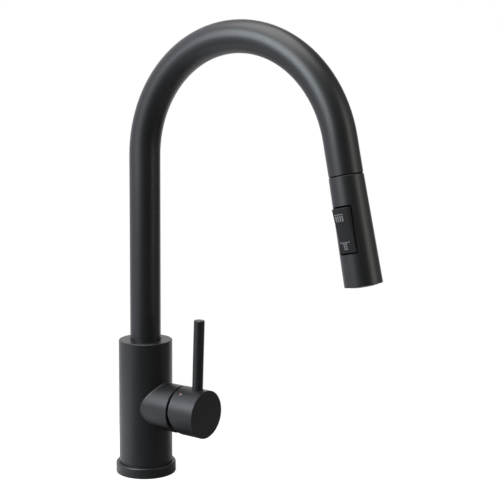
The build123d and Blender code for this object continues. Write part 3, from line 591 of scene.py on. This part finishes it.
nozzle = lathe("nozzle", NOZZLE_OUTLINE, NOZZLE_STEPS)
ring_sizes = {
    "Inner_radius": INNER_RING_RADIUS * MM,
    "Inner_count": INNER_RING_COUNT,
    "Outer_radius": OUTER_RING_RADIUS * MM,
    "Outer_count": OUTER_RING_COUNT,
    "Ball_radius": FACE_BALL * MM,
    "Tip_height": FACE_TIP * MM,
}
nozzle_mesh = rings.run(nozzle, nozzle_rubber, **ring_sizes)
nozzles = piece("soft_nozzles", [nozzle_mesh], HEAD_PLACE, "spray_head")
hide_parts("spray_nozzles")


# Aerator: a rimmed cup with a honeycomb of six-sided cells, in millimetres down from the dock

CELL_PITCH = 1.3
CELL_GAP = 0.02
CELL_WALL = 0.12
CELL_SIDES = 6
CELL_SMOOTH_BELOW = 20.0
CELL_OUTER = CELL_PITCH / math.sqrt(3.0) - CELL_GAP
CELL_INNER = CELL_OUTER - CELL_WALL
COMB_TOP = 91.5
COMB_BOTTOM = 87.5
COMB_ACROSS = 11
COMB_REACH = 4.75
RIM_OUTER = 5.9
RIM_INNER = 5.25
RIM_ROUND = 0.2
RIM_EDGE_DROP = 0.15
RIM_LIP_RISE = 0.2
RIM_TOP_RISE = 0.25
RIM_STEPS = 48
CUP_BOTTOM = 84.0
CUP_FLOOR = 87.0

comb = Pattern("honeycomb", Across=int, Pitch=float, Reach=float)
across = comb.size("Across")
pitch = comb.size("Pitch")
comb_inputs = {
    "Size X": (across - 1.0) * pitch * math.sqrt(0.75),
    "Size Y": (across - 1.0) * pitch,
    "Vertices X": across,
    "Vertices Y": across,
}
centres = comb.add("GeometryNodeMeshGrid", None, comb_inputs, "Mesh")
row = (comb.add("GeometryNodeInputIndex") / across).floor()
centres = comb.moved(centres, comb.vector(Y=(row % 2.0 - 0.5) * pitch * 0.5))
reach = comb.length(comb.add("GeometryNodeInputPosition"))
outside = {"Geometry": centres, "Selection": reach > comb.size("Reach")}
centres = comb.add("GeometryNodeDeleteGeometry", {"domain": "POINT"}, outside)
comb.close(comb.copies(centres))

cell_outline = (
    (CELL_INNER, COMB_BOTTOM),
    (CELL_OUTER, COMB_BOTTOM),
    (CELL_OUTER, COMB_TOP),
    (CELL_INNER, COMB_TOP),
    (CELL_INNER, COMB_BOTTOM),
)
cell = lathe("aerator_cell", cell_outline, CELL_SIDES, CELL_SMOOTH_BELOW)
comb_sizes = {"Across": COMB_ACROSS, "Pitch": CELL_PITCH * MM, "Reach": COMB_REACH * MM}
comb_mesh = comb.run(cell, aerator_plastic, **comb_sizes)
rim_outline = (
    (0.0, CUP_FLOOR),
    (RIM_INNER, CUP_FLOOR),
    (RIM_INNER, COMB_TOP - RIM_EDGE_DROP),
    (RIM_INNER + RIM_ROUND, COMB_TOP + RIM_LIP_RISE),
    (RIM_OUTER - RIM_ROUND, COMB_TOP + RIM_TOP_RISE),
    (RIM_OUTER, COMB_TOP),
    (RIM_OUTER, CUP_BOTTOM),
    (0.0, CUP_BOTTOM),
)
rim = lathe("aerator_rim", rim_outline, RIM_STEPS)
rim.materials.append(aerator_plastic)
aerator = piece("aerator_comb", [rim, comb_mesh], HEAD_PLACE, "spray_head")
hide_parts("aerator")


# Hose above the head, in millimetres down from the dock. At rest it lies in the spout, so its heights are
# below zero.

HOSE_RADIUS = 6.02
HOSE_FROM = -29.8
HOSE_TO = -14.5
HOSE_RINGS = 64
HOSE_SIDES = 40

hose = Pattern("hose_reach", Radius=float, From_height=float, To_height=float, Rings=int)
ends = {
    "Start": hose.vector(Z=hose.size("From_height")),
    "End": hose.vector(Z=hose.size("To_height")),
}
line = hose.add("GeometryNodeCurvePrimitiveLine", None, ends)
line = hose.add("GeometryNodeResampleCurve", None, {"Curve": line, "Count": hose.size("Rings")})
section_inputs = {"Resolution": HOSE_SIDES, "Radius": hose.size("Radius")}
section = hose.add("GeometryNodeCurvePrimitiveCircle", None, section_inputs)
hose.close(hose.add("GeometryNodeCurveToMesh", None, {"Curve": line, "Profile Curve": section}))

hose_sizes = {
    "Radius": HOSE_RADIUS * MM,
    "From_height": HOSE_FROM * MM,
    "To_height": HOSE_TO * MM,
    "Rings": HOSE_RINGS,
}
hose_mesh = hose.run(bpy.data.meshes.new("hose_start"), braid, **hose_sizes)
hose_mesh.shade_smooth()
hose_piece = piece("hose_reach", [hose_mesh], HEAD_PLACE, None)
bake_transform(hose_piece)


# Studio: camera, lights, background and floor, in metres

CAMERA_AT = Vector((0.6970, -0.8002, 0.3619))
CAMERA_AIM = Vector((-0.5797, 0.8029, -0.1387))
CAMERA_ROLL = math.radians(-0.48)
LENS = 82.785
SENSOR = 36.0
FAR_CLIP = 50.0

camera_data = bpy.data.cameras.new("camera")
camera_data.lens = LENS
camera_data.sensor_width = SENSOR
camera_data.clip_end = FAR_CLIP
camera = bpy.data.objects.new("camera", camera_data)
turn = CAMERA_AIM.to_track_quat("-Z", "Y").to_matrix() @ Matrix.Rotation(-CAMERA_ROLL, 3, "Z")
camera.matrix_world = Matrix.Translation(CAMERA_AT) @ turn.to_4x4()
scene.collection.objects.link(camera)
scene.camera = camera
scene.view_settings.view_transform = "Standard"

# The picture's own directions on the floor, so that left and right mean the picture's
TOWARD = Vector((0.58, -0.80, 0.0)).normalized()
RIGHT = Vector((-TOWARD.y, TOWARD.x, 0.0))
UP = Vector((0.0, 0.0, 1.0))
MIDDLE = Vector((0.1, 0.0, 0.2))
HEAD_LEVEL = MIDDLE + UP * 0.16
WHITE = (1.0, 1.0, 1.0)
COOL = (0.87, 0.96, 1.0)
WARM = (1.0, 0.98, 0.88)
VIOLET = (0.88, 0.87, 1.0)


def softbox(name, target, azimuth, elevation, distance, size, power, colour=WHITE):
    """A flat lamp that faces a point; its azimuth is 0 at the camera's side and grows to the right."""
    side, height = math.radians(azimuth), math.radians(elevation)
    level = TOWARD * math.cos(side) + RIGHT * math.sin(side)
    away = level * math.cos(height) + UP * math.sin(height)
    data = bpy.data.lights.new(name, "AREA")
    data.shape = "RECTANGLE"
    data.size, data.size_y = size
    data.energy = power
    data.color = colour
    lamp = bpy.data.objects.new(name, data)
    lamp.location = target + away * distance
    lamp.rotation_euler = (-away).to_track_quat("-Z", "Y").to_euler()
    lamp.visible_camera = False
    scene.collection.objects.link(lamp)


softbox(
    "left_box",
    MIDDLE,
    azimuth=-57.0,
    elevation=28.0,
    distance=1.2,
    size=(0.75, 0.75),
    power=17.0,
    colour=COOL,
)
softbox("top_box", MIDDLE, azimuth=-75.0, elevation=82.0, distance=1.2, size=(1.0, 1.0), power=12.0)
softbox(
    "right_strip",
    HEAD_LEVEL,
    azimuth=61.0,
    elevation=0.0,
    distance=0.4,
    size=(0.1, 0.45),
    power=0.36,
    colour=WARM,
)

world = bpy.data.worlds.new("studio")
world.use_nodes = True
scene.world = world
room = Writer(world.node_tree)
ray = room.add("ShaderNodeTexCoord", out="Generated")


def wall(way, low, high):
    """How much a ray looks towards one side of the room: 0 below the low cosine, 1 above the high one."""
    return room.ramp(room.along(ray, way.normalized()), low, high)


# Direct looks see plain white; reflections see a dim room with paler walls
seen = room.add("ShaderNodeLightPath", out="Is Camera Ray")
clear = room.add("ShaderNodeLightPath", out="Is Transmission Ray")
glossy = room.add("ShaderNodeLightPath", out="Is Glossy Ray")
direct = seen + clear
DIM = 0.07
left_wall = 0.9 * wall(UP * 0.12 - RIGHT * 0.985 - TOWARD * 0.17, low=0.3, high=0.85)
back_wall = (0.5 + 0.1 * glossy) * wall(-TOWARD, low=0.6, high=0.95)
high_back = 0.4 * wall(UP * 0.25 - TOWARD, low=0.88, high=0.98)
low_corner = 0.6 * wall(RIGHT * 0.45 - TOWARD * 0.9 - UP * 0.45, low=0.85, high=0.98)
right_wall = 0.5 * wall(TOWARD * 0.09 + RIGHT + UP * 0.35, low=0.75, high=0.97)
ceiling = 0.6 * wall(UP - RIGHT * 0.3, low=0.5, high=0.95)
ground = 0.35 * wall(-UP, low=0.4, high=0.9)
around = DIM + left_wall + back_wall + high_back + low_corner + right_wall + ceiling + ground
background = world.node_tree.nodes["Background"]
room.feed(background.inputs["Color"], room.colours((1.0 - direct) * left_wall, WHITE, VIOLET))
room.feed(background.inputs["Strength"], direct + (1.0 - direct) * around)

# The floor looks white to the camera, with a soft share of its shadow, and fades out round the tap so
# that it never hides a head that is pulled down. To reflections it shows a painted pool of light, white
# behind the tap, and painted shade, dim in front. It ends before the basin.
FLOOR_REACH = 0.3
FLOOR_FRONT = 0.2
FLOOR_WHITE = (0.75, 0.75, 0.75)
# Painted shade: the dim colour that reflections see on the floor in front of the tap
FLOOR_PAINTED_SHADE = (0.12, 0.12, 0.12)
FLOOR_ROUGHNESS = 0.8
REARWARD = -TOWARD - RIGHT * 0.6
PAINTED_POOL_FROM, PAINTED_POOL_TO = -0.05, 0.02
PAPER_STRENGTH = 1.33
PAPER_SHARE = 0.65
FADE_FROM, FADE_TO = 0.1, 0.18

floor_mesh = bpy.data.meshes.new("floor")
corners = [
    (-FLOOR_REACH, -FLOOR_REACH, 0.0),
    (FLOOR_FRONT, -FLOOR_REACH, 0.0),
    (FLOOR_FRONT, FLOOR_REACH, 0.0),
    (-FLOOR_REACH, FLOOR_REACH, 0.0),
]
floor_mesh.from_pydata(corners, [], [(0, 1, 2, 3)])
floor = bpy.data.objects.new("floor", floor_mesh)
scene.collection.objects.link(floor)
floor_finish = Finish("white_floor", FLOOR_WHITE, FLOOR_ROUGHNESS)
looked_at = floor_finish.add("ShaderNodeLightPath", out="Is Camera Ray")
rearward = floor_finish.along(floor_finish.place, REARWARD)
# Painted pool of light: only for reflections, the floor's base colour is white behind the tap
painted_light_pool = floor_finish.ramp(rearward, PAINTED_POOL_FROM, PAINTED_POOL_TO)
whiteness = painted_light_pool + (1.0 - painted_light_pool) * looked_at
floor_finish.put("Base Color", floor_finish.colours(whiteness, FLOOR_PAINTED_SHADE, FLOOR_WHITE))
paper_inputs = {"Color": (*WHITE, 1.0), "Strength": PAPER_STRENGTH}
paper = floor_finish.add("ShaderNodeEmission", None, paper_inputs, "Emission")
lit = Value(floor_finish, floor_finish.shader.outputs["BSDF"])
near_inputs = {"Fac": PAPER_SHARE * looked_at, 1: lit, 2: paper}
near = floor_finish.add("ShaderNodeMixShader", None, near_inputs, "Shader")
nothing = floor_finish.add("ShaderNodeBsdfTransparent", out="BSDF")
fade = looked_at * floor_finish.ramp(floor_finish.length(floor_finish.place), FADE_FROM, FADE_TO)
shown = floor_finish.add("ShaderNodeMixShader", None, {"Fac": fade, 1: near, 2: nothing}, "Shader")
floor_finish.feed(floor_finish.tree.nodes["Material Output"].inputs["Surface"], shown)
floor_mesh.materials.append(floor_finish.material)
